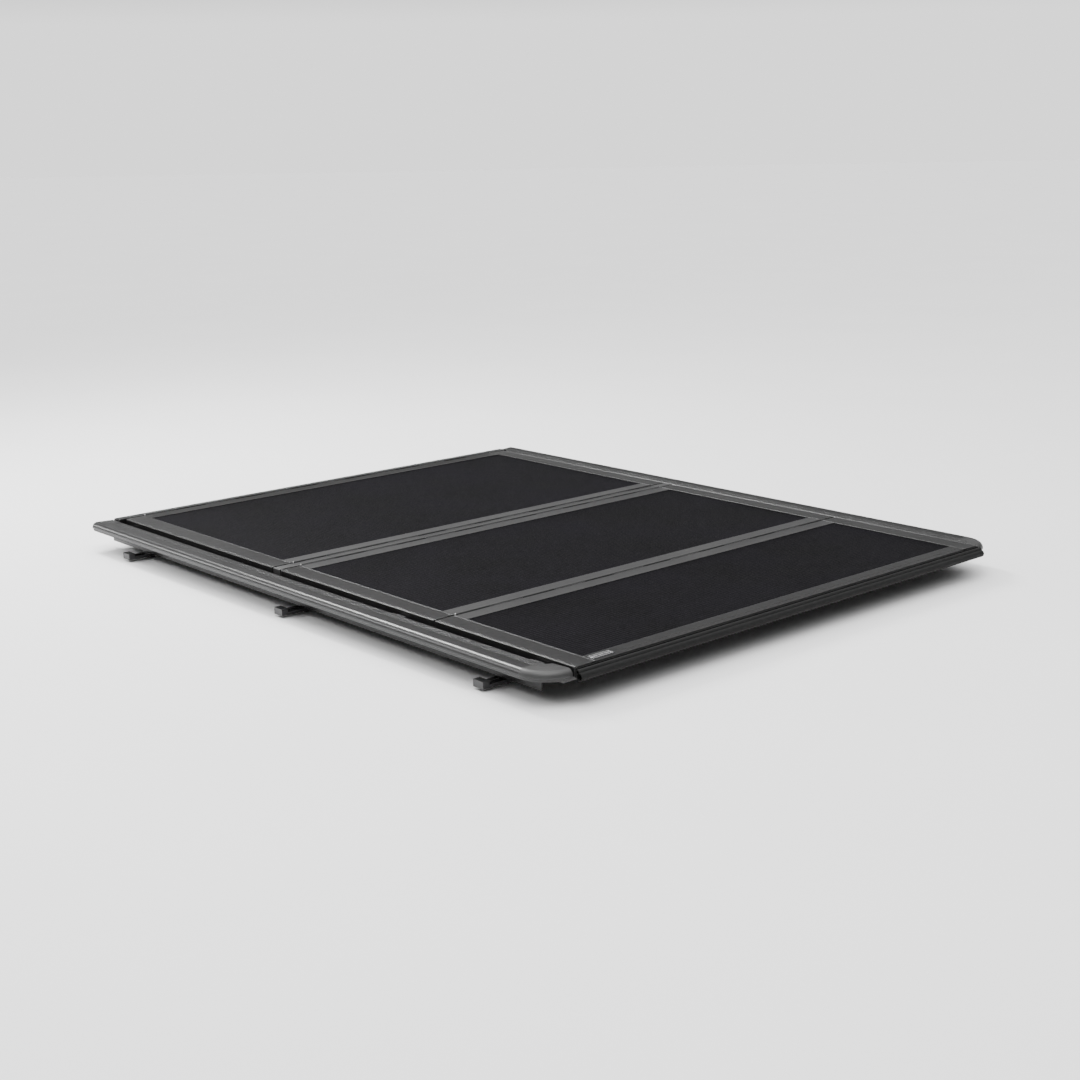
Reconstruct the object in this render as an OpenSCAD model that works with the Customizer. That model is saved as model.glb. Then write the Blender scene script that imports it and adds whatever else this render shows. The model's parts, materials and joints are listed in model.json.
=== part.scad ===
// Hard folding tonneau cover: three panels on clamp-on side rails, for a pickup bed.
// X runs across the bed (right is +X), Y runs towards the cab and Z is up.
// The origin is the centre of the header seal's underside, where it rests on the bulkhead.
// The bed's rail tops lie in the plane Z = 0.

/* [Cover] */
// Width over the side rails
cover_w = 1704; // [1690:2:1720]
// Length from the header's front edge to the tailgate seal's rear edge
cover_len = 2092; // [2070:2:2110]
// Length of the panel next to the cab
front_len = 815; // [800:1:830]
// Length of the middle panel
mid_len = 661; // [640:1:680]
// Height of the panel frames' undersides over the bed rails
panel_lift = 5; // [4:0.5:6]

/* [Panel frames] */
// Thickness of a panel over its frame
panel_t = 25; // [24:0.5:27]
// Width of a frame's side member
side_w = 63; // [60:1:66]
// Width of a frame's cross member
bar_w = 44; // [42:1:48]
// Length of the lips that hold the board
lip_len = 15; // [12:1:18]
// Thickness of the lips
lip_t = 2; // [1.8:0.1:2.5]
// Radius of the panels' outer top edges
edge_r = 3; // [2:0.5:4]
// Wall thickness of the extrusions
wall = 2.5; // [2:0.1:2.8]
// Thickness of one facing sheet
skin_t = 1.5; // [1:0.1:2]

/* [Hinges] */
// Radius of a hinge barrel
barrel_r = 3.2; // [3:0.1:3.5]
// Radius of a hinge pin
pin_r = 1.6; // [1.4:0.1:1.8]
// Height of the hinge axes over the frames' tops
axis_lift = 1; // [0.8:0.1:1.5]
// Distance between the two axes of the double hinge
link_span = 38; // [37:1:42]
// Distance between the middles of two hinge barrels
knuckle_pitch = 107; // [100:1:107]

/* [Rails] */
// Width of a rail's box, which stands on the bed rail
box_w = 70; // [66:1:76]
// Height of the box's top over the bed rail
box_top = 26; // [24:1:28]
// Depth that the clamping web hangs below the bed rail
web_depth = 42; // [40:1:44]
// Radius of the box's outer top edge
nose_r = 16; // [12:1:18]
// Outer radius of the rounded rear corners
corner_r = 85; // [78:1:86]

/* [Latches and props] */
// Travel of a latch bolt
bolt_travel = 14; // [12:1:14]
// Distance from a prop rod's pivot to its eye
prop_len = 480; // [470:1:490]
// Angle that the front panel is lifted to
lift_angle = 85; // [80:1:88]
// Angle that a prop rod swings through
prop_angle = 120; // [118:1:122]
// Radius of a prop rod
prop_r = 4; // [3.5:0.1:4.2]

/* [Clamps] */
// Distance that a jaw reaches outwards past the web
jaw_reach = 68; // [60:1:72]
// Radius of a clamp bolt
clamp_bolt_r = 4; // [4:0.5:5]
// Radius of a drain nipple
drain_r = 6.5; // [6:0.1:7]

/* [Hidden] */
$fn = 48;
running = 0.05;
gap = barrel_r + 0.3;
header_d = 40;
seal_reach = 24;
z_bot = panel_lift;
z_top = panel_lift + panel_t;
z_axis = z_top + axis_lift;

// Stations along Y, from the cab to the tailgate
y_head = header_d / 2;
y_axis_h = -header_d / 2 - gap;
y_f0 = y_axis_h - gap;
y_f1 = y_f0 - front_len;
y_axis_f = y_f1 - gap;
y_axis_m = y_axis_f - link_span;
y_m0 = y_axis_m - gap;
y_m1 = y_m0 - mid_len;
y_axis_r = y_m1 - gap;
y_r0 = y_axis_r - gap;
y_tail = y_head - cover_len;
y_r1 = y_tail + seal_reach;
y_corner = y_r1 + corner_r;

// Stations along X, as distances from the middle
u_out = cover_w / 2;
u_box = u_out - box_w;
u_panel = u_box - 20;
u_frame = u_panel - side_w;
u_slot = u_frame + lip_len;
u_gutter = u_panel - 23;
u_board = u_slot - 0.5;
u_seal = u_gutter + 11;
u_clamp = u_box - 20;
u_prop = u_gutter - 14;
u_drain = u_gutter + 30;

// Latches: the bolt slides along X inside the side frame
mid_latch_y = y_m1 + 120;
rear_latch_y = y_r1 + 110;
u_latch = u_slot + wall;
u_finger = u_latch + 3.7;
bolt_z0 = z_bot + 3;
bolt_z1 = z_bot + 9.8;
tab_u = u_latch + 24.5;
cable_z = z_bot - 3.8;
casing_r = 2.1;
wire_r = 1.1;
wire_len = 18;

// Prop rods: pivot on the front panel, peg on the gutter
prop_y = y_f0 - 240;
prop_z = z_bot - 8.5;
prop_dy = prop_y - y_axis_h;
prop_dz = prop_z - z_axis;
raised_y = y_axis_h + prop_dy * cos(lift_angle) + prop_dz * sin(lift_angle);
raised_z = z_axis - prop_dy * sin(lift_angle) + prop_dz * cos(lift_angle);
prop_down = 180 - lift_angle + prop_angle;
peg_y = raised_y + prop_len * cos(prop_down);
peg_z = raised_z + prop_len * sin(prop_down);

foot_h = link_span - panel_t - 3.5;
undercut = 3;
knuckles = 13;
clamp_ys = [-180, -1000, -1820];
board_top = z_top - lip_t;
board_bot = z_bot + lip_t;

// ---------------------------------------------------------------- helpers

function arc(cx, cy, r, a0, a1, n = 8) =
    [for (i = [0:n]) let (a = a0 + (a1 - a0) * i / n) [cx + r * cos(a), cy + r * sin(a)]];

// Extrudes a profile drawn in (X, Z) from y0 back to y1.
module along_y(y0, y1) {
    translate([0, y0, 0]) rotate([90, 0, 0]) linear_extrude(y0 - y1) children();
}

// Extrudes a profile drawn in (Y, Z) from x0 to x1.
module along_x(x0, x1) {
    translate([x0, 0, 0]) rotate([90, 0, 90]) linear_extrude(x1 - x0) children();
}

// Draws the right-hand piece and its mirror image.
module both_sides() {
    children();
    mirror([1, 0, 0]) children();
}

// Draws the piece for one side: -1 is left and 1 is right.
module on_side(side) {
    mirror([side < 0 ? 1 : 0, 0, 0]) children();
}

module block(x0, x1, y0, y1, z0, z1) {
    translate([x0, y0, z0]) cube([x1 - x0, y1 - y0, z1 - z0]);
}

module rod_x(x0, x1, y, z, r) {
    translate([x0, y, z]) rotate([0, 90, 0]) cylinder(h = x1 - x0, r = r);
}

module rod_z(x, y, z0, z1, r) {
    translate([x, y, z0]) cylinder(h = z1 - z0, r = r);
}

// ---------------------------------------------------------------- rails

// Height of the box's top face at distance g from its inner edge: it slopes up outwards.
function crown(g) = box_top - 2.5 + 2.5 * g / (box_w - nose_r);

// Points from the undercut at the box's outer foot, over its nose and along its top, for a box
// whose inner edge is at x.
function box_edge(x) = concat(
    [[x + box_w - undercut, 2], [x + box_w - undercut, 7], [x + box_w, 9]],
    arc(x + box_w - nose_r, box_top - nose_r, nose_r, 0, 90, 12),
    [for (g = [24, 16, 8]) for (d = [[1.5, 0], [1.1, 1], [0.4, 1], [0, 0]])
        [x + g + d[0], crown(g + d[0]) - d[1]]],
    [[x + 2, crown(2)], [x, crown(2) - 2]]
);

// Hollow inside the box: the walls follow the outer edge's rounding.
module box_hollow(x, floor_z) {
    polygon(concat(
        [[x + wall, floor_z], [x + box_w - undercut - wall, floor_z],
         [x + box_w - undercut - wall, 8.2]],
        arc(x + box_w - nose_r, box_top - nose_r, nose_r - wall, 0, 90),
        [[x + wall, crown(0) - wall - 1]]
    ));
}

module rail() {
    color([0.10, 0.10, 0.11]) along_y(y_head, y_corner) difference() {
        polygon(concat(
            [[u_box, -web_depth], [u_box + 3, -web_depth], [u_box + 3, 2]],
            box_edge(u_box)
        ));
        box_hollow(u_box, 5);
    }
}

// U-shaped channel that carries the bulb seal and takes rain to the drains.
module gutter() {
    floor_z = -5;
    color([0.12, 0.12, 0.13]) difference() {
        union() {
            along_y(y_f0 + gap, y_tail + 40) polygon([
                [u_gutter, floor_z - wall], [u_box, floor_z - wall], [u_box, 1],
                [u_box - wall, 1], [u_box - wall, floor_z],
                [u_gutter + 19, floor_z], [u_gutter + 19, floor_z + 2],
                [u_gutter + 17.5, floor_z + 2], [u_gutter + 17.5, floor_z],
                [u_gutter + 4.5, floor_z], [u_gutter + 4.5, floor_z + 2],
                [u_gutter + wall, floor_z + 2], [u_gutter + wall, 1.5], [u_gutter, 1.5],
            ]);
            block(u_gutter, u_box, y_f0 + 1.8, y_f0 + gap, floor_z - wall, 1);
            block(u_gutter, u_box, y_tail + 40, y_tail + 42.5, floor_z - wall, 1);
        }
        rod_z(u_drain, -60, floor_z - wall - 1, floor_z + 1, drain_r - 2);
    }
}

module seat_tape() {
    color([0.06, 0.06, 0.06]) block(u_box + 8, u_out - 4, y_corner + 5, y_head - 2, 0, 2);
}

// Hollow D-shaped seal that the side frames rest on.
module bulb_seal() {
    bulb_r = 4.6;
    bulb_z = z_bot - 0.3 - bulb_r;
    color([0.05, 0.05, 0.05]) along_y(y_f0 - 2, y_tail + 44) difference() {
        union() {
            translate([u_seal - 5.5, -5]) square([11, 2.5]);
            translate([u_seal, bulb_z]) circle(bulb_r);
            translate([u_seal - 3, -4]) square([6, 4]);
        }
        translate([u_seal, bulb_z]) circle(3.2);
    }
}

// Quarter-round moulding that turns the rail's box in behind the rear panel's corner. It is
// hollow, and closed at its inner end.
module end_cap() {
    inner_r = corner_r - box_w;
    closed = 3;
    color([0.09, 0.09, 0.09]) translate([u_out - corner_r, y_corner, 0]) difference() {
        rotate([0, 0, -90]) rotate_extrude(angle = 90)
            polygon(concat([[inner_r, 2]], box_edge(inner_r)));
        rotate([0, 0, closed - 90]) rotate_extrude(angle = 91 - closed)
            box_hollow(inner_r, 1);
    }
}

// Hose nipple under the gutter's front end.
module drain_elbow() {
    color([0.08, 0.08, 0.08]) difference() {
        union() {
            rod_z(u_drain, -60, -11, -7.5, 10);
            rod_z(u_drain, -60, -33, -10, drain_r);
        }
        rod_z(u_drain, -60, -34, -7, drain_r - 2);
    }
}

// Angle plate on the rail's box that a latch bolt slides under.
module striker(y) {
    lip_z = bolt_z1 + 0.5;
    color([0.2, 0.2, 0.21]) {
        block(u_panel + 4, u_box, y - 16, y + 16, lip_z, lip_z + 2.5);
        block(u_box - 2.5, u_box, y - 16, y + 16, lip_z + 2, box_top - 3);
    }
}

module clamp_bracket(y) {
    color([0.35, 0.35, 0.37]) difference() {
        union() {
            block(u_box - 34, u_box, y - 20, y + 20, -30, -12);
            block(u_box - 6, u_box, y - 20, y + 20, -40, -29);
        }
        rod_z(u_clamp, y, -31, -11, clamp_bolt_r + 0.08);
    }
}

// Jaw that reaches under the bed rail's flange, with the bolt that tightens it.
module clamp_jaw(y) {
    tip = u_box + jaw_reach;
    color([0.40, 0.40, 0.42]) difference() {
        union() {
            block(u_box - 34, tip, y - 18, y + 18, -54, -46);
            block(tip - 20, tip, y - 18, y + 18, -47, -36);
            block(u_box + 8, tip - 19, y - 3, y + 3, -47, -43);
        }
        rod_z(u_clamp, y, -55, -45, clamp_bolt_r + 0.1);
    }
    color([0.62, 0.62, 0.64]) {
        rod_z(u_clamp, y, -54, -16, clamp_bolt_r);
        rod_z(u_clamp, y, -55.5, -54, 9);
        translate([u_clamp, y, -61]) cylinder(h = 5.5, r = 7.5, $fn = 6);
    }
}

// Stud on the gutter that a prop rod's eye sits on while the panels stand open.
module prop_peg() {
    color([0.55, 0.55, 0.57]) {
        rod_x(u_gutter - 9, u_gutter, peg_y, peg_z, 3.5);
        rod_x(u_gutter - 1.5, u_gutter, peg_y, peg_z, 6);
    }
}

// ---------------------------------------------------------------- header

module hinge_knuckles(y, first, towards) {
    for (i = [first:2:knuckles - 1])
        let (x = (i - (knuckles - 1) / 2) * knuckle_pitch, half = knuckle_pitch / 2 - 0.4) {
            rod_x(x - half, x + half, y, z_axis, barrel_r);
            block(x - half, x + half, min(y, y + towards * (gap + 1)),
                max(y, y + towards * (gap + 1)), z_axis - barrel_r, z_axis);
        }
}

module hinge_bore(y) {
    rod_x(-u_panel, u_panel, y, z_axis, pin_r + running);
}

module hinge_pin(y) {
    reach = knuckles * knuckle_pitch / 2;
    color([0.6, 0.6, 0.62]) rod_x(-reach, reach, y, z_axis, pin_r);
}

module header_bar() {
    base_z = 6;
    color([0.11, 0.11, 0.12]) difference() {
        union() {
            along_x(3 - u_box, u_box - 3) difference() {
                polygon([
                    [-header_d / 2, base_z], [header_d / 2, base_z],
                    [header_d / 2, z_top - 6], [header_d / 2 - 4, z_top - 2],
                    [2, z_top - 2], [0, z_top], [-header_d / 2, z_top],
                ]);
                translate([-header_d / 2 + wall, base_z + wall])
                    square([header_d - 2 * wall, z_top - 6 - base_z - 2 * wall]);
            }
            hinge_knuckles(y_axis_h, 1, 1);
        }
        hinge_bore(y_axis_h);
    }
}

module header_seal() {
    color([0.05, 0.05, 0.05]) along_x(-u_gutter + 7, u_gutter - 7) difference() {
        polygon([[-16, 0], [16, 0], [18, 6], [-18, 6]]);
        translate([-8, 3]) circle(1.8);
        translate([8, 3]) circle(1.8);
    }
}

// Angle plate that ties the header's end to the rail's web, with its four screws.
module corner_bracket() {
    color([0.2, 0.2, 0.21]) difference() {
        union() {
            block(u_gutter + 2, u_box, -18, 18, 2, 6);
            block(u_box - 4, u_box, -18, 18, -34, 3);
        }
        for (u = [u_gutter + 12, u_gutter + 30]) rod_z(u, 0, 1, 7, 2.6);
        for (z = [-10, -26]) rod_x(u_box - 5, u_box + 1, 0, z, 2.6);
    }
    color([0.6, 0.6, 0.62]) {
        for (u = [u_gutter + 12, u_gutter + 30]) {
            rod_z(u, 0, 2, 6, 2.5);
            rod_z(u, 0, -1, 2, 4.5);
        }
        for (z = [-10, -26]) {
            rod_x(u_box - 4, u_box, 0, z, 2.5);
            rod_x(u_box - 7, u_box - 4, 0, z, 4.5);
        }
    }
}

// ---------------------------------------------------------------- panels

// Side member with a low ridge along the lip's inner edge and a groove near the outer edge.
module side_profile() {
    ridge = 0.7;
    difference() {
        polygon(concat(
            [[u_frame, z_bot], [u_panel - 1, z_bot], [u_panel, z_bot + 1]],
            arc(u_panel - edge_r, z_top - edge_r, edge_r, 0, 90, 6),
            [[u_panel - 6, z_top], [u_panel - 6.4, z_top - 1], [u_panel - 7.6, z_top - 1],
             [u_panel - 8, z_top], [u_frame + 3.6, z_top], [u_frame + 2.8, z_top + ridge],
             [u_frame + 0.7, z_top + ridge], [u_frame, z_top - 0.2], [u_frame, board_top],
             [u_slot, board_top], [u_slot, board_bot], [u_frame, board_bot]]
        ));
        translate([u_latch, z_bot + wall])
            square([side_w - lip_len - 2 * wall, panel_t - 2 * wall]);
    }
}

// Cross member: its outer face is at Y = 0 and the board is on its +Y side.
module bar_profile() {
    box = bar_w - lip_len;
    difference() {
        translate([0, z_bot]) square([bar_w, panel_t]);
        translate([wall, z_bot + wall]) square([box - 2 * wall, panel_t - 2 * wall]);
        translate([box, board_bot]) square([lip_len + 1, board_top - board_bot]);
    }
}

// Cross member at station y. towards is 1 when the board is on its +Y side.
module cross_bar(y, towards) {
    along_x(-u_frame, u_frame) translate([y, 0]) mirror([towards < 0 ? 1 : 0, 0])
        bar_profile();
}

module hinged_bar(y, towards, axis_y, first) {
    color([0.13, 0.13, 0.14]) difference() {
        union() {
            cross_bar(y, towards);
            hinge_knuckles(axis_y, first, towards);
        }
        hinge_bore(axis_y);
    }
}

// Cross member at the tailgate, with a drip groove along its rear edge.
module tail_bar() {
    color([0.13, 0.13, 0.14]) difference() {
        cross_bar(y_r1, 1);
        block(-u_frame - 1, u_frame + 1, y_r1 + 13, y_r1 + 14.6, z_top - 1.2, z_top + 1);
    }
}

module side_frame(y0, y1) {
    color([0.13, 0.13, 0.14]) along_y(y0, y1) side_profile();
}

// Side frame with a pocket for a latch at station y.
module latch_side_frame(y0, y1, y) {
    color([0.13, 0.13, 0.14]) difference() {
        along_y(y0, y1) side_profile();
        block(u_latch + 0.5, u_panel - wall - 0.1, y - 14.2, y + 14.2, z_bot - 1, z_bot + wall + 0.1);
        block(u_panel - wall - 1, u_panel + 1, y - 9.6, y + 9.6, bolt_z0 - 0.4, bolt_z1 + 0.4);
    }
}

module board_sheet(y0, y1, z0, z1) {
    edge = bar_w - lip_len + 0.5;
    block(-u_board, u_board, y1 + edge, y0 - edge, z0, z1);
}

module skins(y0, y1) {
    color([0.05, 0.05, 0.055]) {
        board_sheet(y0, y1, board_top - skin_t, board_top);
        board_sheet(y0, y1, board_bot, board_bot + skin_t);
    }
}

module core(y0, y1) {
    color([0.75, 0.75, 0.72]) board_sheet(y0, y1, board_bot + skin_t, board_top - skin_t);
}

// ---------------------------------------------------------------- double hinge

module hinge_link() {
    color([0.14, 0.14, 0.15]) difference() {
        union() {
            along_x(-u_frame, u_frame) difference() {
                translate([y_axis_m + gap, z_top - 13])
                    square([link_span - 2 * gap, 13]);
                translate([y_axis_m + gap + wall, z_top - 13 + wall])
                    square([link_span - 2 * gap - 2 * wall, 13 - 2 * wall]);
                for (y = [y_axis_m + gap + 6, y_axis_f - gap - 7])
                    translate([y, z_top - 0.9]) square([1, 2]);
            }
            hinge_knuckles(y_axis_f, 1, -1);
            hinge_knuckles(y_axis_m, 1, 1);
        }
        hinge_bore(y_axis_f);
        hinge_bore(y_axis_m);
    }
}

module link_end_cap() {
    color([0.08, 0.08, 0.08]) along_y(y_axis_f - gap, y_axis_m + gap) polygon(concat(
        [[u_frame + 0.2, z_bot + 6], [u_panel - 1, z_bot + 6], [u_panel, z_bot + 7]],
        arc(u_panel - edge_r, z_top - edge_r, edge_r, 0, 90, 6),
        [[u_panel - 6, z_top], [u_panel - 6.4, z_top - 1], [u_panel - 7.6, z_top - 1],
         [u_panel - 8, z_top], [u_frame + 0.2, z_top]]
    ));
}

module link_gasket(y, towards) {
    color([0.05, 0.05, 0.05]) along_x(-u_frame + 1, u_frame - 1) polygon([
        [y + towards * gap, z_top - 12], [y + towards * gap, z_top - 5],
        [y - towards * (gap - 0.4), z_top - 7], [y - towards * (gap - 0.4), z_top - 10],
    ]);
}

// ---------------------------------------------------------------- latches

// Moulded block inside the side frame, screwed to the frame's underside by its flange.
module latch_housing(y) {
    floor_z = z_bot + 1.6;
    color([0.09, 0.09, 0.09]) difference() {
        union() {
            block(u_latch + 0.7, u_panel - wall - 0.3, y - 14, y + 14, floor_z, z_top - wall - 0.3);
            block(u_latch + 0.7, u_gutter - 0.5, y - 14, y + 14, z_bot - 0.5, floor_z + 0.5);
            block(u_latch + 0.7, u_gutter - 0.5, y - 28, y + 28, z_bot - 1.6, z_bot);
        }
        block(u_latch + 3.2, u_panel, y - 9.3, y + 9.3, bolt_z0 - 0.4, z_top - 5);
        block(u_latch + 3.2, u_gutter - 0.8, y - 3, y + 3, z_bot - 3, bolt_z0 + 1);
        rod_x(u_latch, u_latch + 4, y, cable_z, casing_r + 0.1);
        for (dy = [-21, 21]) rod_z(u_latch + 12, y + dy, z_bot - 3, z_bot + 1, 2);
    }
}

// Slam bolt, drawn back: a bar with a sloped nose, a tab for the spring and a finger that
// carries the end of the release wire.
module latch_bolt(y) {
    tip = u_panel - 1;
    color([0.6, 0.6, 0.62]) {
        along_y(y + 9, y - 9) polygon([
            [u_finger, bolt_z0], [tip - 12, bolt_z0], [tip, bolt_z1 - 2.5],
            [tip, bolt_z1], [u_finger, bolt_z1],
        ]);
        block(tab_u, tab_u + 3.5, y - 6, y + 6, bolt_z1 - 0.5, bolt_z1 + 9);
        block(u_finger, u_finger + 3.3, y - 2.5, y + 2.5, z_bot - 5.5, bolt_z0 + 0.5);
        rod_x(u_finger - wire_len, u_finger + 1, y, cable_z, wire_r);
    }
}

// Compression spring along X from x0 to x1, swept as a round wire.
module coil_spring(x0, x1, y, z, r, wire_r, turns) {
    sides = 8;
    steps = 12 * turns;
    rings = [for (i = [0:steps]) let (a = 360 * turns * i / steps)
        [for (k = [0:sides - 1]) let (b = 360 * k / sides, q = r + wire_r * cos(b))
            [x0 + wire_r + (x1 - x0 - 2 * wire_r) * i / steps + wire_r * sin(b),
             y + q * cos(a), z + q * sin(a)]]];
    points = [for (ring = rings) for (p = ring) p];
    faces = concat(
        [[for (k = [0:sides - 1]) k]],
        [for (i = [0:steps - 1]) for (k = [0:sides - 1])
            [i * sides + k, (i + 1) * sides + k,
             (i + 1) * sides + (k + 1) % sides, i * sides + (k + 1) % sides]],
        [[for (k = [0:sides - 1]) steps * sides + sides - 1 - k]]
    );
    color([0.7, 0.7, 0.72]) polyhedron(points, faces, convexity = 10);
}

// Coil spring between the housing's inner wall and the bolt's tab.
module latch_spring(y) {
    coil_spring(u_latch + 3.4, tab_u - 0.2, y, bolt_z1 + 5, 3, 0.5, 6);
}

// Cased release cable between the two latches, with its clips and the grip in the middle.
module release_cable(y) {
    reach = u_finger - 0.4;
    color([0.08, 0.08, 0.08]) difference() {
        union() {
            rod_x(-reach, reach, y, cable_z, casing_r);
            rod_x(-45, 45, y, cable_z, casing_r + 2);
            for (x = [-480, -160, 160, 480]) {
                block(x - 7, x + 7, y - 9, y + 9, board_bot - 2, board_bot);
                block(x - 5, x + 5, y - 4, y + 4, cable_z - 3.5, board_bot - 1);
            }
        }
        for (x = [-reach - 1, reach - wire_len - 1])
            rod_x(x, x + wire_len + 2, y, cable_z, wire_r + 0.08);
    }
}

// ---------------------------------------------------------------- prop rods

// Clevis that a prop rod turns in, and the open clip that holds it stowed.
module prop_rod_mount() {
    clip_y = prop_y - prop_len + 70;
    color([0.3, 0.3, 0.32]) {
        block(u_prop - 8, u_prop + 8, prop_y - 9, prop_y + 9, z_bot - 1.3, z_bot);
        for (s = [-1, 1])
            block(u_prop + s * 6.2 - 1.8, u_prop + s * 6.2 + 1.8, prop_y - 7, prop_y + 7,
                prop_z - 7, z_bot - 1);
        rod_x(u_prop - 8.5, u_prop + 8.5, prop_y, prop_z, 3);
    }
    color([0.08, 0.08, 0.08]) {
        block(u_prop - 7, u_prop + 7, clip_y - 8, clip_y + 8, z_bot - 2, z_bot);
        for (s = [-1, 1])
            block(u_prop + s * 5.6 - 1.2, u_prop + s * 5.6 + 1.2, clip_y - 8, clip_y + 8,
                prop_z - 3, z_bot - 1);
    }
}

// Rod with a pivot eye at the front and, at its free end, a hook that drops onto the peg.
module prop_rod() {
    end_y = prop_y - prop_len;
    color([0.6, 0.6, 0.62]) difference() {
        union() {
            translate([u_prop, prop_y - 4, prop_z]) rotate([90, 0, 0])
                cylinder(h = prop_len - 16, r = prop_r);
            rod_x(u_prop - 3.4, u_prop + 3.4, prop_y, prop_z, 6.6);
            rod_x(u_prop - 5, u_prop + 7, end_y + 14, prop_z, 3.3);
            block(u_prop + 6, u_prop + 10, end_y - 8, end_y + 18, prop_z - 8, prop_z + 6);
        }
        rod_x(u_prop - 5, u_prop + 5, prop_y, prop_z, 3 + running);
        rod_x(u_prop + 5, u_prop + 11, end_y, prop_z, 4.5);
        block(u_prop + 5, u_prop + 11, end_y - 4.5, end_y + 4.5, prop_z - 9, prop_z);
    }
}

// ---------------------------------------------------------------- rear panel trim

module tailgate_seal() {
    color([0.04, 0.04, 0.04]) along_x(-u_panel, u_panel) difference() {
        union() {
            translate([y_r1 - 4, z_bot]) square([4, panel_t - 4]);
            translate([y_r1 - 9, z_top - 11]) circle(6);
            translate([y_r1 - seal_reach / 2 - 2, z_bot + 4]) circle(seal_reach / 2 - 2);
            translate([y_r1 - 9, z_bot + 2]) square([6, 10]);
        }
        translate([y_r1 - 9, z_top - 11]) circle(4);
        translate([y_r1 - seal_reach / 2 - 2, z_bot + 4]) circle(seal_reach / 2 - 4.2);
    }
}

module rear_foot(u, y) {
    color([0.06, 0.06, 0.06]) rod_z(u, y, z_bot - foot_h, z_bot, 11);
}

module maker_plate() {
    plate_x = 37 - u_frame;
    color([0.6, 0.6, 0.62]) translate([plate_x, y_r1 + bar_w / 2, z_top]) difference() {
        translate([-35, -11, 0]) cube([70, 22, 1.2]);
        for (sx = [-1, 1]) translate([sx * 35, 11, 0.6]) rotate([0, 0, 45])
            cube([6, 6, 3], center = true);
        for (sx = [-1, 1]) translate([sx * 35, -11, 0.6]) rotate([0, 0, 45])
            cube([6, 6, 3], center = true);
    }
}

// ---------------------------------------------------------------- nodes

on_side(-1) rail();  // left_rail
on_side(1) rail();  // right_rail
both_sides() gutter();  // drain_gutters
both_sides() seat_tape();  // seat_tapes
both_sides() bulb_seal();  // bulb_seals
header_bar();
header_seal();
hinge_pin(y_axis_h);  // header_pin
both_sides() corner_bracket();  // corner_brackets
both_sides() end_cap();  // rail_end_caps
both_sides() drain_elbow();  // drain_elbows
both_sides() for (y = [mid_latch_y, rear_latch_y]) striker(y);  // latch_strikers
both_sides() for (y = clamp_ys) clamp_bracket(y);  // clamp_brackets
both_sides() prop_peg();  // prop_pegs
for (i = [0:2]) {
    on_side(-1) clamp_jaw(clamp_ys[i]);
    on_side(1) clamp_jaw(clamp_ys[i]);
}

skins(y_f0, y_f1);  // front_skins
core(y_f0, y_f1);  // front_core
both_sides() side_frame(y_f0, y_f1);  // front_side_frames
hinged_bar(y_f0, -1, y_axis_h, 0);  // front_header_frame
hinged_bar(y_f1, 1, y_axis_f, 0);  // front_hinge_frame
both_sides() prop_rod_mount();  // prop_rod_mounts
on_side(-1) prop_rod();  // left_prop_rod
on_side(1) prop_rod();  // right_prop_rod

hinge_link();
both_sides() link_end_cap();  // link_end_caps
union() {  // link_pins
    hinge_pin(y_axis_f);
    hinge_pin(y_axis_m);
}
union() {  // link_gaskets
    link_gasket(y_axis_f, -1);
    link_gasket(y_axis_m, 1);
}

skins(y_m0, y_m1);  // mid_skins
core(y_m0, y_m1);  // mid_core
both_sides() latch_side_frame(y_m0, y_m1, mid_latch_y);  // mid_side_frames
hinged_bar(y_m0, -1, y_axis_m, 0);  // mid_front_frame
hinged_bar(y_m1, 1, y_axis_r, 0);  // mid_rear_frame
both_sides() latch_housing(mid_latch_y);  // mid_latch_housings
on_side(-1) latch_spring(mid_latch_y);  // mid_left_spring
on_side(1) latch_spring(mid_latch_y);  // mid_right_spring
on_side(-1) latch_bolt(mid_latch_y);  // mid_left_bolt
on_side(1) latch_bolt(mid_latch_y);  // mid_right_bolt
release_cable(mid_latch_y);  // mid_release_cable
link_gasket(y_axis_r, 1);  // rear_hinge_gasket

skins(y_r0, y_r1);  // rear_skins
core(y_r0, y_r1);  // rear_core
both_sides() latch_side_frame(y_r0, y_r1, rear_latch_y);  // rear_side_frames
hinged_bar(y_r0, -1, y_axis_r, 1);  // rear_front_frame
tail_bar();  // rear_tail_frame
both_sides() latch_housing(rear_latch_y);  // rear_latch_housings
on_side(-1) latch_spring(rear_latch_y);  // rear_left_spring
on_side(1) latch_spring(rear_latch_y);  // rear_right_spring
on_side(-1) latch_bolt(rear_latch_y);  // rear_left_bolt
on_side(1) latch_bolt(rear_latch_y);  // rear_right_bolt
release_cable(rear_latch_y);  // rear_release_cable
hinge_pin(y_axis_r);  // rear_hinge_pin
both_sides() for (y = [y_r0 - 60, y_r1 + 50]) rear_foot(u_slot, y);  // rear_feet
tailgate_seal();
maker_plate();
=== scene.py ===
import json
import math

import bpy
from mathutils import Matrix, Vector


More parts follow.
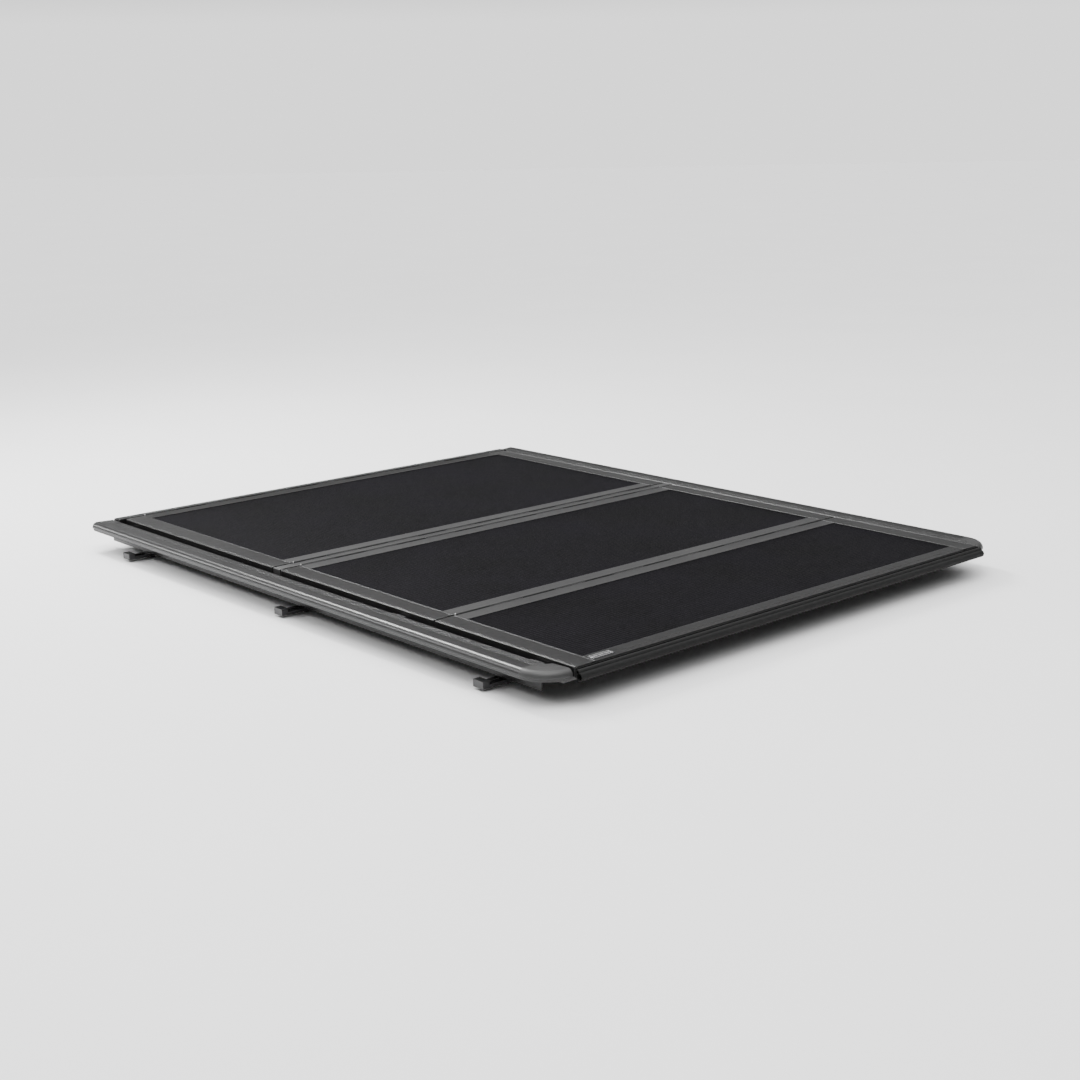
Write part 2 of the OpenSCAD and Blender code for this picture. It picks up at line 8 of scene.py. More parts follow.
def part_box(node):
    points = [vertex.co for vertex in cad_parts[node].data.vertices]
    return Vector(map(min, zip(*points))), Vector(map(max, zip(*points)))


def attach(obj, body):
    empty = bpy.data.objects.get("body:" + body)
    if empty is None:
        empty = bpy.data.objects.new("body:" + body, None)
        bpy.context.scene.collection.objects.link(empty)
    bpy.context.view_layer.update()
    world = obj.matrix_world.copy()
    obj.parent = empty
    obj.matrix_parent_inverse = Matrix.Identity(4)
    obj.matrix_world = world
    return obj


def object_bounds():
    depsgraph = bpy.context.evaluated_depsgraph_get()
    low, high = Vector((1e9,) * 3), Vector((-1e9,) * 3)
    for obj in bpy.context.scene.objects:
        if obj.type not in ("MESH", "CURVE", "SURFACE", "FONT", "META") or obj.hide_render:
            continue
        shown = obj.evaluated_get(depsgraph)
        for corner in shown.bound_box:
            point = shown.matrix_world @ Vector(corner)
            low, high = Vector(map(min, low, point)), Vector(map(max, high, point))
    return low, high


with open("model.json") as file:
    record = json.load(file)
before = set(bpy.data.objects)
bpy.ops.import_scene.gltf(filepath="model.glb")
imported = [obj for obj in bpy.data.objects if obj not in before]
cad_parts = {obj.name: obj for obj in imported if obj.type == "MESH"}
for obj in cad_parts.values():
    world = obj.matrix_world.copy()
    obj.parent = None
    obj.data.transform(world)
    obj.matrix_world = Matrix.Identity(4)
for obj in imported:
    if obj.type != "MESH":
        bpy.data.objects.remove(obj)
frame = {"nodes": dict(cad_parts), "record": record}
CAD_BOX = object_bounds()
NODES = frame["nodes"]
RECORD = frame["record"]

MM = 0.001
BEVEL_SAMPLES = 4


# ---------------------------------------------------------------- shader helpers

class Shader:
    """A material's node tree, with short calls for the nodes the finishes share."""

    def __init__(self, name, base, roughness, metallic=0.0, specular=0.5, ior=1.5):
        self.mat = bpy.data.materials.new(name)
        self.mat.use_nodes = True
        self.tree = self.mat.node_tree
        self.bsdf = self.tree.nodes["Principled BSDF"]
        self.bsdf.inputs["Base Color"].default_value = (*base, 1.0)
        self.bsdf.inputs["Roughness"].default_value = roughness
        self.bsdf.inputs["Metallic"].default_value = metallic
        self.bsdf.inputs["Specular IOR Level"].default_value = specular
        self.bsdf.inputs["IOR"].default_value = ior
        self.coords = self.tree.nodes.new("ShaderNodeTexCoord").outputs["Object"]
        self.bump_chain = None

    def put(self, value, socket):
        """Links a node's output to a socket, or sets the socket to a plain value."""
        if isinstance(value, bpy.types.NodeSocket):
            self.tree.links.new(value, socket)
        else:
            socket.default_value = value

    def scaled(self, scale):
        node = self.tree.nodes.new("ShaderNodeMapping")
        self.put(self.coords, node.inputs["Vector"])
        node.inputs["Scale"].default_value = scale
        return node.outputs["Vector"]

    def noise(self, scale, detail=3.0, stretch=(1, 1, 1), rough=0.5):
        node = self.tree.nodes.new("ShaderNodeTexNoise")
        self.put(self.scaled(stretch), node.inputs["Vector"])
        node.inputs["Scale"].default_value = scale
        node.inputs["Detail"].default_value = detail
        node.inputs["Roughness"].default_value = rough
        return node.outputs["Fac"]

    def cells(self, scale, feature="F1"):
        node = self.tree.nodes.new("ShaderNodeTexVoronoi")
        node.feature = feature
        self.put(self.coords, node.inputs["Vector"])
        node.inputs["Scale"].default_value = scale
        return node.outputs["Distance"]

    def math(self, kind, a, b=0.0):
        node = self.tree.nodes.new("ShaderNodeMath")
        node.operation = kind
        self.put(a, node.inputs[0])
        self.put(b, node.inputs[1])
        return node.outputs[0]

    def ramp(self, value, low, high, out_low, out_high):
        """Maps low..high to out_low..out_high and holds the value beyond either end."""
        node = self.tree.nodes.new("ShaderNodeMapRange")
        self.put(value, node.inputs["Value"])
        node.inputs["From Min"].default_value = low
        node.inputs["From Max"].default_value = high
        node.inputs["To Min"].default_value = out_low
        node.inputs["To Max"].default_value = out_high
        return node.outputs["Result"]

    def blend(self, factor, a, b):
        node = self.tree.nodes.new("ShaderNodeMix")
        node.data_type = "RGBA"
        self.put(factor, node.inputs["Factor"])
        for index, value in ((6, a), (7, b)):
            if isinstance(value, tuple):
                value = (*value, 1.0)
            self.put(value, node.inputs[index])
        return node.outputs[2]

    def axis(self, name):
        node = self.tree.nodes.new("ShaderNodeSeparateXYZ")
        self.put(self.coords, node.inputs[0])
        return node.outputs[name]

    def rounded_normal(self, radius):
        node = self.tree.nodes.new("ShaderNodeBevel")
        node.samples = BEVEL_SAMPLES
        node.inputs["Radius"].default_value = radius
        return node.outputs[0]

    def edges(self, radius):
        """A mask that is 1 along sharp edges: where the rounded normal leaves the true one."""
        true = self.tree.nodes.new("ShaderNodeNewGeometry").outputs["Normal"]
        dot = self.tree.nodes.new("ShaderNodeVectorMath")
        dot.operation = "DOT_PRODUCT"
        self.put(self.rounded_normal(radius), dot.inputs[0])
        self.put(true, dot.inputs[1])
        away = self.math("SUBTRACT", 1.0, dot.outputs["Value"])
        return self.ramp(away, 0.02, 0.25, 0.0, 1.0)

    def round_edges(self, radius):
        """Shades sharp edges as if they were rounded. Comes before the material's bumps."""
        self.bump_chain = self.rounded_normal(radius)

    def bump(self, height, distance, strength):
        """Adds a relief of this height and strength on top of the earlier ones."""
        node = self.tree.nodes.new("ShaderNodeBump")
        node.inputs["Distance"].default_value = distance
        node.inputs["Strength"].default_value = strength
        self.put(height, node.inputs["Height"])
        if self.bump_chain is not None:
            self.put(self.bump_chain, node.inputs["Normal"])
        self.bump_chain = node.outputs["Normal"]

    def done(self, color, roughness=None):
        """Connects colour, relief and, if it varies, roughness. Returns the material."""
        self.put(color, self.bsdf.inputs["Base Color"])
        self.put(self.bump_chain, self.bsdf.inputs["Normal"])
        if roughness is not None:
            self.put(roughness, self.bsdf.inputs["Roughness"])
        return self.mat


# ---------------------------------------------------------------- finishes

SETTLED_DUST = (0.040, 0.039, 0.037)
# Pale grey for the coat's edges: rubbed-through coat and a painted edge highlight in one.
RUBBED_COAT_AND_EDGE_HIGHLIGHT = (0.24, 0.24, 0.24)


def powder_coat(name, tone, rough_low, peel_scale):
    """Black powder coat on aluminium: orange peel, faint draw lines, and pale edges that are partly
    rubbed wear and partly a painted highlight.
    The tone is its grey value, and rough_low and peel_scale set its gloss and the fineness of its peel."""
    s = Shader(name, (0.015, 0.015, 0.0155), 0.34, ior=1.46)
    s.round_edges(0.9 * MM)
    peel = s.noise(peel_scale, 2.0)
    draw = s.noise(260, 3.0, stretch=(1, 0.02, 1))
    s.bump(peel, 0.035 * MM, 0.5)
    s.bump(draw, 0.03 * MM, 0.25)
    cloud = s.noise(5, 4.0)
    dust = s.noise(60, 5.0, rough=0.7)
    # Sharp edges are blended a quarter to nearly half way to pale grey: partly wear, partly a painted
    # highlight along every edge.
    wear_and_highlight_patches = s.ramp(s.noise(45, 4.0), 0.40, 0.68, 0.24, 0.44)
    worn = s.math("MULTIPLY", s.edges(1.2 * MM), wear_and_highlight_patches)
    dark = (0.88 * tone, 0.88 * tone, 0.90 * tone)
    pale = (1.14 * tone, 1.14 * tone, 1.14 * tone)
    base = s.blend(s.ramp(cloud, 0.35, 0.65, 0.0, 1.0), dark, pale)
    base = s.blend(s.ramp(dust, 0.55, 0.8, 0.0, 0.25), base, SETTLED_DUST)
    base = s.blend(worn, base, RUBBED_COAT_AND_EDGE_HIGHLIGHT)
    cloud_rough = s.ramp(cloud, 0.3, 0.7, rough_low + 0.025, rough_low + 0.055)
    dust_rough = s.ramp(dust, 0.4, 0.8, 0.0, 0.10)
    return s.done(base, s.math("ADD", cloud_rough, dust_rough))


SQUARE_PERIOD = 22 * MM
SKIN_BLACK = (0.0010, 0.0010, 0.0011)
SKIN_DARK = (0.0028, 0.0025, 0.0036)
SKIN_SQUARE = (0.0050, 0.0046, 0.0060)
SKIN_MOTTLE = (0.0085, 0.0080, 0.0100)
SKIN_SPECK = (0.034, 0.033, 0.037)
SKIN_SHEEN = (0.97, 0.92, 1.0, 1.0)


def panel_skin():
    """Black fibre-reinforced sheet: pebbled, with small raised squares set corner to corner."""
    s = Shader("textured_skin", (0.003, 0.003, 0.0035), 0.5, specular=0.22, ior=1.16)
    s.bsdf.inputs["Specular Tint"].default_value = SKIN_SHEEN
    step = 2 * math.pi / SQUARE_PERIOD
    diagonals = (s.math(kind, s.axis("X"), s.axis("Y")) for kind in ("ADD", "SUBTRACT"))
    waves = [s.math("SINE", s.math("MULTIPLY", diagonal, step)) for diagonal in diagonals]
    squares = s.math("MULTIPLY", *waves)
    pebble = s.cells(300, "SMOOTH_F1")
    s.bump(s.noise(6, 2.0), 3.0 * MM, 0.35)
    s.bump(squares, 0.3 * MM, 0.6)
    s.bump(pebble, 0.6 * MM, 0.8)
    s.bump(s.noise(900, 2.0), 0.08 * MM, 0.5)
    cloud = s.noise(3.5, 5.0, rough=0.6)
    mottle = s.noise(70, 5.0, stretch=(1, 0.45, 1), rough=0.85)
    speck = s.noise(260, 3.0, rough=0.8)
    base = s.blend(s.ramp(cloud, 0.35, 0.68, 0.0, 1.0), SKIN_BLACK, SKIN_DARK)
    base = s.blend(s.ramp(squares, 0.1, 0.9, 0.0, 0.45), base, SKIN_SQUARE)
    base = s.blend(s.ramp(mottle, 0.45, 0.72, 0.0, 0.5), base, SKIN_MOTTLE)
    base = s.blend(s.ramp(speck, 0.58, 0.8, 0.0, 0.55), base, SKIN_SPECK)
    unevenness = s.math("ADD", pebble, s.math("MULTIPLY", cloud, 0.6))
    return s.done(base, s.ramp(unevenness, 0.2, 1.0, 0.42, 0.62))


def rubber():
    """Extruded rubber: fine grain and lines, a dusty bloom, almost no gloss."""
    s = Shader("rubber", (0.006, 0.006, 0.006), 0.72, specular=0.2)
    s.bump(s.noise(1200, 3.0), 0.05 * MM, 0.5)
    s.bump(s.noise(300, 2.0, stretch=(0.03, 1, 1)), 0.06 * MM, 0.3)
    bloom = s.noise(25, 5.0, rough=0.65)
    base = s.blend(s.ramp(bloom, 0.5, 0.8, 0.0, 0.5), (0.004, 0.004, 0.004), (0.016, 0.0155, 0.015))
    return s.done(base, s.ramp(bloom, 0.3, 0.8, 0.62, 0.85))


def moulded_plastic():
    """Black moulded plastic with a spark-eroded grain and slightly polished edges."""
    s = Shader("black_plastic", (0.017, 0.017, 0.017), 0.5, specular=0.45)
    s.round_edges(1.0 * MM)
    s.bump(s.cells(900), 0.06 * MM, 0.5)
    s.bump(s.noise(500, 3.0), 0.05 * MM, 0.3)
    cloud = s.noise(14, 4.0)
    base = s.blend(s.ramp(cloud, 0.35, 0.7, 0.0, 1.0), (0.014, 0.014, 0.014), (0.026, 0.026, 0.026))
    polish = s.math("MULTIPLY", s.edges(1.5 * MM), 0.12)
    return s.done(base, s.math("SUBTRACT", s.ramp(cloud, 0.3, 0.7, 0.42, 0.54), polish))


def zinc_steel():
    """Zinc-plated steel: brushed, clouded, with dulled patches."""
    s = Shader("zinc_steel", (0.56, 0.56, 0.57), 0.34, metallic=1.0)
    s.round_edges(0.5 * MM)
    brushed = s.noise(700, 3.0, stretch=(0.05, 1, 1))
    s.bump(brushed, 0.02 * MM, 0.35)
    cloud = s.noise(60, 5.0, rough=0.65)
    base = s.blend(s.ramp(cloud, 0.4, 0.7, 0.0, 1.0), (0.60, 0.60, 0.61), (0.42, 0.41, 0.38))
    return s.done(base, s.ramp(cloud, 0.3, 0.75, 0.26, 0.48))


def coated_steel():
    """Black electro-coated steel with small scuffs down to bare metal."""
    coat, bare = (0.022, 0.022, 0.023), (0.24, 0.23, 0.22)
    s = Shader("black_steel", coat, 0.42)
    s.round_edges(0.8 * MM)
    s.bump(s.noise(650, 3.0), 0.05 * MM, 0.5)
    scuff = s.ramp(s.noise(180, 5.0, stretch=(1, 0.2, 1), rough=0.7), 0.66, 0.74, 0.0, 0.6)
    worn = s.math("MULTIPLY", s.edges(1.4 * MM), s.ramp(s.noise(90, 4.0), 0.42, 0.62, 0.0, 0.8))
    mask = s.math("MAXIMUM", scuff, worn)
    return s.done(s.blend(mask, coat, bare), s.ramp(mask, 0.0, 1.0, 0.42, 0.34))


def foam():
    """Closed-cell foam board, seen only at cut edges."""
    s = Shader("foam_core", (0.60, 0.58, 0.50), 0.9, specular=0.2)
    cell = s.cells(500)
    s.bump(cell, 0.4 * MM, 0.8)
    base = s.blend(s.ramp(cell, 0.0, 0.8, 0.0, 1.0), (0.45, 0.43, 0.36), (0.68, 0.66, 0.58))
    return s.done(base)


def plate():
    """Dark brushed aluminium badge blank with its edges painted bright silver, a painted highlight."""
    s = Shader("plate_metal", (0.20, 0.20, 0.21), 0.3, metallic=1.0)
    s.round_edges(0.4 * MM)
    brushed = s.noise(900, 3.0, stretch=(0.04, 1, 1))
    s.bump(brushed, 0.02 * MM, 0.5)
    # Painted highlight: the edge mask turns the plate's edges bright silver.
    base = s.blend(s.edges(0.6 * MM), (0.16, 0.16, 0.17), (0.62, 0.62, 0.62))
    return s.done(base, s.ramp(brushed, 0.3, 0.7, 0.24, 0.40))


FINISHES = {
    "satin_black_aluminium": powder_coat("satin_black_aluminium", 0.008, 0.25, 900),
    # Hinge strips: the same coat at twice the frames' tone, a lighter copy painted to stand in for the
    # sheen they catch.
    "hinge_aluminium": powder_coat("hinge_aluminium", 0.016, 0.38, 500),
    "textured_skin": panel_skin(),
    "rubber": rubber(),
    "black_plastic": moulded_plastic(),
    "zinc_steel": zinc_steel(),
    "black_steel": coated_steel(),
    "foam_core": foam(),
    "plate_metal": plate(),
}
SLOT_OF = {p["node"]: p["material_slot"] for p in RECORD["subparts"]}


def finish_cad_nodes():
    for name, obj in NODES.items():
        for slot in obj.material_slots:
            slot.material = FINISHES[SLOT_OF[name]]


finish_cad_nodes()


# ---------------------------------------------------------------- small hardware

CREASE = math.radians(35)


def add_mesh(name, verts, faces, body, slot_name, smooth=True):
    """Makes a piece that rides on a body. Edges sharper than the crease angle stay sharp."""
    mesh = bpy.data.meshes.new(name)
    mesh.from_pydata(verts, [], faces)
    mesh.validate()
    mesh.polygons.foreach_set("use_smooth", [smooth] * len(mesh.polygons))
    mesh.set_sharp_from_angle(angle=CREASE)
    mesh.materials.append(FINISHES[slot_name])
    obj = bpy.data.objects.new(name, mesh)
    bpy.context.collection.objects.link(obj)
    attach(obj, body)


class Parts:
    """Collects turned shapes into one mesh. Each ring is (radius, height, corners): corners of 6
    makes that ring a hexagon and 0 makes it a circle."""

    FACETS = 24

    def __init__(self):
        self.verts = []
        self.faces = []

    def turned(self, place, axis, rings):
        """Turns the rings about an axis through place, with heights measured from there."""
        axis = Vector(axis).normalized()
        side = axis.orthogonal().normalized()
        other = axis.cross(side)
        start = len(self.verts)
        for radius, height, corners in rings:
            for i in range(self.FACETS):
                a = 2 * math.pi * i / self.FACETS
                r = radius
                if corners:
                    half = math.pi / corners
                    r = radius * math.cos(half) / math.cos((a % (2 * half)) - half)
                spot = Vector(place) + axis * height + (side * math.cos(a) + other * math.sin(a)) * r
                self.verts.append(spot)
        for k in range(len(rings) - 1):
            ring = start + k * self.FACETS
            for i in range(self.FACETS):
                a, b = ring + i, ring + (i + 1) % self.FACETS
                self.faces.append((a, b, b + self.FACETS, a + self.FACETS))
        last = start + (len(rings) - 1) * self.FACETS
        self.faces.append(tuple(reversed(range(start, start + self.FACETS))))
        self.faces.append(tuple(range(last, last + self.FACETS)))

    def screw(self, place, axis, r, tall):
        """Pan head with a hexagonal socket, standing on the surface at place."""
        self.turned(place, axis, [
            (r * 0.97, 0.0, 0),
            (r, tall * 0.25, 0),
            (r * 0.93, tall * 0.7, 0),
            (r * 0.72, tall * 0.96, 0),
            (r * 0.52, tall, 0),
            (r * 0.50, tall * 0.99, 6),
            (r * 0.48, tall * 0.25, 6),
        ])

    def add(self, name, body, slot_name):
        add_mesh(name, self.verts, self.faces, body, slot_name)


DOWN = (0, 0, -1)
SIDES = (-1, 1)
PANELS = (("front", "front_panel"), ("mid", "mid_panel"), ("rear", "rear_panel"))


def inner_x(node):
    """Distance from the middle to the nearest part of a node that is made in left and right halves."""
    return min(abs(v.co.x) for v in NODES[node].data.vertices)


def housing_screws():
    """Two screws through the flange of each latch housing, fore and aft of its bolt."""
    from_edge, from_bolt = 11.3 * MM, 21 * MM
    for panel in ("mid", "rear"):
        node = f"{panel}_latch_housings"
        low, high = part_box(node)
        middle = (low.y + high.y) / 2
        parts = Parts()
        for side in SIDES:
            for dy in (-from_bolt, from_bolt):
                place = (side * (inner_x(node) + from_edge), middle + dy, low.z)
                parts.screw(place, DOWN, r=3.6 * MM, tall=2.0 * MM)
        parts.add(f"{panel}_housing_screws", f"{panel}_panel", "zinc_steel")


def corner_screws():
    """Four screws under each corner of a panel, through the frames into the key inside them: two
    along the side frame and two along the cross frame."""
    across_side, across_cross = 31 * MM, 12 * MM
    for panel, body in PANELS:
        node = f"{panel}_side_frames"
        low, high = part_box(node)
        frame_x = inner_x(node)
        parts = Parts()
        for side in SIDES:
            for end, towards in ((low.y, 1), (high.y, -1)):
                for inset in (9 * MM, 24 * MM):
                    spots = (
                        (side * (frame_x + across_side), end + towards * inset),
                        (side * (frame_x - inset), end + towards * across_cross),
                    )
                    for x, y in spots:
                        parts.screw((x, y, low.z), DOWN, r=3.4 * MM, tall=1.6 * MM)
        parts.add(f"{panel}_corner_screws", body, "zinc_steel")


def clip_screws(panel, node):
    """Two screws in each clip of a release cable. The clips' flanges are the only parts of the node
    that lie so far from the cable's middle line, so their corners give each clip's place."""
    beyond, screw_y = 8.5 * MM, 6.6 * MM
    low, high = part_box(node)
    middle = (low.y + high.y) / 2
    corners = [v.co for v in NODES[node].data.vertices if abs(v.co.y - middle) > beyond]
    ends = sorted({round(c.x, 4) for c in corners})
    flange_z = min(c.z for c in corners)
    screws = Parts()
    for a, b in zip(ends[::2], ends[1::2]):
        for dy in (-screw_y, screw_y):
            place = ((a + b) / 2, middle + dy, flange_z)
            screws.screw(place, DOWN, r=1.9 * MM, tall=1.1 * MM)
    screws.add(f"{panel}_clip_screws", f"{panel}_panel", "zinc_steel")


def grip_ribs(panel, node):
    """Finger ribs around the grip in the middle of a release cable."""
    count, pitch = 17, 5
    first = -pitch * (count - 1) / 2
    grip_r, rib_r, axis_up = 4.15 * MM, 4.7 * MM, 4.1 * MM
    foot, crown = 1.4 * MM, 0.8 * MM
    low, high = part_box(node)
    rings = []
    for n in range(count):
        at = (first + pitch * n) * MM
        rings += [
            (grip_r, at - foot, 0),
            (rib_r, at - crown, 0),
            (rib_r, at + crown, 0),
            (grip_r, at + foot, 0),
        ]
    ribs = Parts()
    ribs.turned((0, (low.y + high.y) / 2, low.z + axis_up), (1, 0, 0), rings)
    ribs.add(f"{panel}_grip_ribs", f"{panel}_panel", "rubber")


def cable_details():
    for panel in ("mid", "rear"):
        node = f"{panel}_release_cable"
        clip_screws(panel, node)
        grip_ribs(panel, node)


PINS = (("header_pin", "base"), ("link_pins", "double_hinge"), ("rear_hinge_pin", "rear_panel"))


def pin_heads():
    """Peened heads on both ends of the hinge pins. A node holds one pin, or two that lie along the
    front and the back of its box."""
    for node, body in PINS:
        low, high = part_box(node)
        radius = (high.z - low.z) / 2
        centres = sorted({round(low.y + radius, 5), round(high.y - radius, 5)})
        parts = Parts()
        for y in centres:
            for side in SIDES:
                parts.turned((side * high.x, y, (low.z + high.z) / 2), (side, 0, 0), [
                    (radius * 1.6, 0.05 * MM, 0),
                    (radius * 1.6, 0.5 * MM, 0),
                    (radius * 1.3, 1.1 * MM, 0),
                    (radius * 0.6, 1.4 * MM, 0),
                ])
        parts.add(f"{node}_heads", body, "zinc_steel")


def clamp_threads():
    """Thread on the part of each clamp bolt that shows between the bracket and the jaw."""
    turns, pitch = 11, 1.25 * MM
    root_r, crest_r = 4.02 * MM, 4.4 * MM
    bolt_in, below_bracket = 14 * MM, 5.5 * MM
    rings = []
    for n in range(turns):
        at = pitch * n
        rings += [(root_r, at, 0), (crest_r, at + 0.5 * MM, 0), (crest_r, at + 0.65 * MM, 0)]
    rings.append((root_r, pitch * turns, 0))
    thread_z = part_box("clamp_brackets")[0].z - below_bracket
    for side_name, side in (("left", -1), ("right", 1)):
        for k in (1, 2, 3):
            node = f"{side_name}_clamp_jaw_{k}"
            low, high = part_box(node)
            parts = Parts()
            place = (side * (inner_x(node) + bolt_in), (low.y + high.y) / 2, thread_z)
            parts.turned(place, (0, 0, 1), rings)
            parts.add(f"{side_name}_bolt_thread_{k}", f"{side_name}_jaw_{k}", "zinc_steel")


def badge_relief():
    """Raised border and three plain bars on the blank plate."""
    low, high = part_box("maker_plate")
    middle = (low + high) / 2
    half_x, half_y = (high.x - low.x) / 2 - 5.5 * MM, (high.y - low.y) / 2 - 2.0 * MM
    line, rise, slope, sunk = 1.0 * MM, 0.45 * MM, 0.2 * MM, 0.05 * MM
    bar_x, bar_y, bar_step = 7 * MM, 2.2 * MM, 18 * MM
    bars = [
        (-half_x, half_x, half_y - line, half_y),
        (-half_x, half_x, -half_y, -half_y + line),
        (-half_x, -half_x + line, -half_y + line, half_y - line),
        (half_x - line, half_x, -half_y + line, half_y - line),
    ]
    bars += [(x - bar_x, x + bar_x, -bar_y, bar_y) for x in (-bar_step, 0, bar_step)]
    verts, faces = [], []
    for x0, x1, y0, y1 in bars:
        n = len(verts)
        for grow, z in ((0, -sunk), (0, rise - slope), (-slope, rise)):
            corners = (
                (x0 - grow, y0 - grow),
                (x1 + grow, y0 - grow),
                (x1 + grow, y1 + grow),
                (x0 - grow, y1 + grow),
            )
            verts += [(middle.x + x, middle.y + y, high.z + z) for x, y in corners]
        for ring in (n, n + 4):
            for i in range(4):
                a, b = ring + i, ring + (i + 1) % 4
                faces.append((a, b, b + 4, a + 4))
        faces += [(n + 8, n + 9, n + 10, n + 11), (n + 3, n + 2, n + 1, n)]
    add_mesh("badge_relief", verts, faces, "rear_panel", "zinc_steel", smooth=False)


# A plug's rings from its hidden end to its face: size against the opening, and depth inside it.
PLUG_RINGS = (
    (1.00, 4.0 * MM),
    (1.00, 0.9 * MM),
    (0.97, 0.4 * MM),
    (0.86, 0.4 * MM),
    (0.80, 1.4 * MM),
)


def plug(verts, faces, outline, y, inwards):
    """Moulded plug just inside an extrusion's open end at y: a chamfered face with a dished middle.
    The outline is a loop of (x, z), and inwards is the way into the extrusion along Y."""
    n = len(outline)
    cx, cz = (sum(p[i] for p in outline) / n for i in (0, 1))
    start = len(verts)
    for size, depth in PLUG_RINGS:
        verts += [(cx + (x - cx) * size, y + inwards * depth, cz + (z - cz) * size) for x, z in outline]
    last = start + (len(PLUG_RINGS) - 1) * n
    turn = 1 if inwards > 0 else -1
    for ring in range(start, last, n):
        for i in range(n):
            a, b = ring + i, ring + (i + 1) % n
            faces.append((a, b, b + n, a + n)[::turn])
    faces.append(tuple(range(start, start + n))[::-turn])
    faces.append(tuple(range(last, last + n))[::turn])


def mirrored(outline, side):
    """The outline on the right (1) or left (-1) side, going round the same way on both."""
    return outline if side > 0 else [(-x, z) for x, z in outline][::-1]


HOLLOW_GAP = 2.6 * MM


def rail_plugs():
    """Plugs in the open front ends of the rails' boxes. The outline follows the box's hollow, with
    a rounded nose at the outer top and a wall that leans in at the outer foot."""
    low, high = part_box("right_rail")
    floor_z, foot_top, inner_drop = 5.1 * MM, 8.2 * MM, 6.1 * MM
    undercut, nose, nose_steps = 3 * MM, 16 * MM, 8
    nose_x, nose_z, nose_r = high.x - nose, high.z - nose, nose - HOLLOW_GAP
    back_x, foot_x = low.x + HOLLOW_GAP, high.x - undercut - HOLLOW_GAP
    outline = [(back_x, floor_z), (foot_x, floor_z), (foot_x, foot_top)]
    for i in range(nose_steps + 1):
        a = math.pi / 2 * i / nose_steps
        outline.append((nose_x + nose_r * math.cos(a), nose_z + nose_r * math.sin(a)))
    outline.append((back_x, high.z - inner_drop))
    verts, faces = [], []
    for side in SIDES:
        plug(verts, faces, mirrored(outline, side), high.y, -1)
    add_mesh("rail_plugs", verts, faces, "base", "black_plastic")


def frame_plugs():
    """Plugs in both open ends of the panels' side frames."""
    lip, frame_height = 15 * MM, 25 * MM
    for panel, body in PANELS:
        node = f"{panel}_side_frames"
        low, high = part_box(node)
        x0, x1 = inner_x(node) + lip + HOLLOW_GAP, high.x - HOLLOW_GAP
        z0, z1 = low.z + HOLLOW_GAP, low.z + frame_height - HOLLOW_GAP
        outline = [(x0, z0), (x1, z0), (x1, z1), (x0, z1)]
        verts, faces = [], []
        for side in SIDES:
            plug(verts, faces, mirrored(outline, side), high.y, -1)
            plug(verts, faces, mirrored(outline, side), low.y, 1)
        add_mesh(f"{panel}_frame_plugs", verts, faces, body, "black_plastic")


rail_plugs()
frame_plugs()
housing_screws()
corner_screws()
cable_details()
pin_heads()
clamp_threads()
badge_relief()


# ---------------------------------------------------------------- floor, light and camera

FLOOR_REACH = 120
FLOOR_GAP = 0.5 * MM


def floor():
    """Plain pale floor, just below the object's lowest point."""
    z = CAD_BOX[0][2] - FLOOR_GAP
    corners = [(x * FLOOR_REACH, y * FLOOR_REACH, z) for x, y in ((-1, -1), (1, -1), (1, 1), (-1, 1))]
    mesh = bpy.data.meshes.new("floor")
    mesh.from_pydata(corners, [], [(0, 1, 2, 3)])
    obj = bpy.data.objects.new("floor", mesh)
    bpy.context.collection.objects.link(obj)
    s = Shader("floor", (0.8, 0.8, 0.8), 0.8, specular=0.2)
    s.bump(s.noise(120, 3.0), 0.1 * MM, 0.2)
    paint = s.blend(s.noise(1.5, 2.0), (0.80, 0.80, 0.805), (0.84, 0.84, 0.84))
    mesh.materials.append(s.done(paint))


def area_light(name, place, target, size, power):
    """Rectangular light aimed at target. The second of size runs as nearly along Y as the aim lets it."""
    light = bpy.data.lights.new(name, "AREA")
    light.shape = "RECTANGLE"
    light.size, light.size_y = size
    light.energy = power
    obj = bpy.data.objects.new(name, light)
    obj.location = place
    away = (Vector(place) - Vector(target)).normalized()
    side = Vector((0, 1, 0)).cross(away).normalized()
    obj.rotation_euler = Matrix((side, away.cross(side), away)).transposed().to_euler()
    bpy.context.collection.objects.link(obj)


# Sine of the elevation and the dome's brightness there: pale where it meets the floor, a dark
# band that the glossy tops reflect towards the camera, and a bright ceiling.
DOME = ((0.0, 1.6), (0.06, 1.6), (0.13, 0.16), (0.45, 0.12), (0.64, 1.8), (1.0, 4.2))


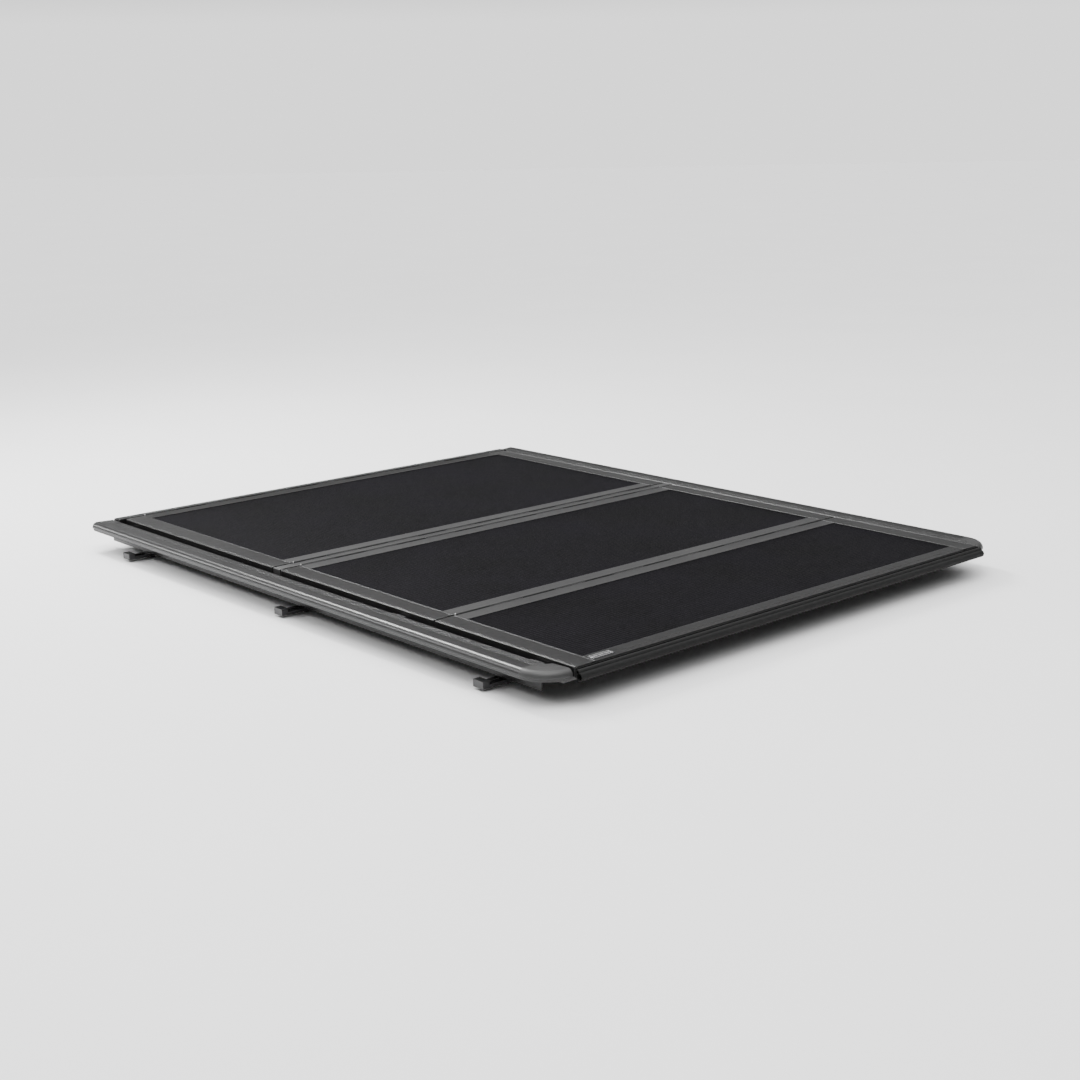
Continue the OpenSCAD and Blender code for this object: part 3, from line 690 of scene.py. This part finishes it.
def studio_dome():
    """World whose brightness depends on the elevation only."""
    world = bpy.data.worlds.new("studio")
    world.use_nodes = True
    tree = world.node_tree
    background = tree.nodes["Background"]
    where = tree.nodes.new("ShaderNodeTexCoord").outputs["Generated"]
    height = tree.nodes.new("ShaderNodeSeparateXYZ")
    tree.links.new(where, height.inputs[0])
    node = tree.nodes.new("ShaderNodeValToRGB")
    ramp = node.color_ramp
    brightest = max(level for _, level in DOME)
    ramp.elements.remove(ramp.elements[1])
    for index, (place, level) in enumerate(DOME):
        stop = ramp.elements[0] if index == 0 else ramp.elements.new(place)
        stop.position = place
        stop.color = (*[level / brightest] * 3, 1)
    tree.links.new(height.outputs["Z"], node.inputs[0])
    tree.links.new(node.outputs[0], background.inputs["Color"])
    background.inputs["Strength"].default_value = brightest
    bpy.context.scene.world = world


def lights():
    studio_dome()
    area_light("edge_strip", (-2.35, 0.9, 1.35), target=(-0.8, -1.2, 0), size=(0.30, 3.2), power=48)
    area_light("key", (-1.6, -2.6, 3.8), target=(0, -1.0, 0), size=(2.4, 2.4), power=90)
    area_light("ridge_glint", (-0.3, 1.7, 3.1), target=(0.7, -1.2, 0), size=(0.5, 1.6), power=190)


CAMERA_AT = Vector((-3.112, -4.5955, 1.1778))
CAMERA_ROLL = math.radians(-0.991)
AIM_X, AIM_BACK = 0.03, 0.02
LENS = 55.5


def camera():
    """Camera at the photo's angle, aimed near the middle of the cover's top."""
    low, high = (Vector(v) for v in CAD_BOX)
    aim = Vector((AIM_X, (low.y + high.y) / 2 - AIM_BACK, 0.0))
    forward = (aim - CAMERA_AT).normalized()
    right = forward.cross(Vector((0, 0, 1))).normalized()
    up = right.cross(forward)
    cos, sin = math.cos(CAMERA_ROLL), math.sin(CAMERA_ROLL)
    right, up = cos * right + sin * up, cos * up - sin * right
    turn = Matrix((right, up, -forward)).transposed().to_4x4()
    data = bpy.data.cameras.new("camera")
    data.sensor_width = 36
    data.lens = LENS
    data.clip_end = 50
    obj = bpy.data.objects.new("camera", data)
    obj.matrix_world = Matrix.Translation(CAMERA_AT) @ turn
    bpy.context.collection.objects.link(obj)
    bpy.context.scene.camera = obj


floor()
lights()
camera()
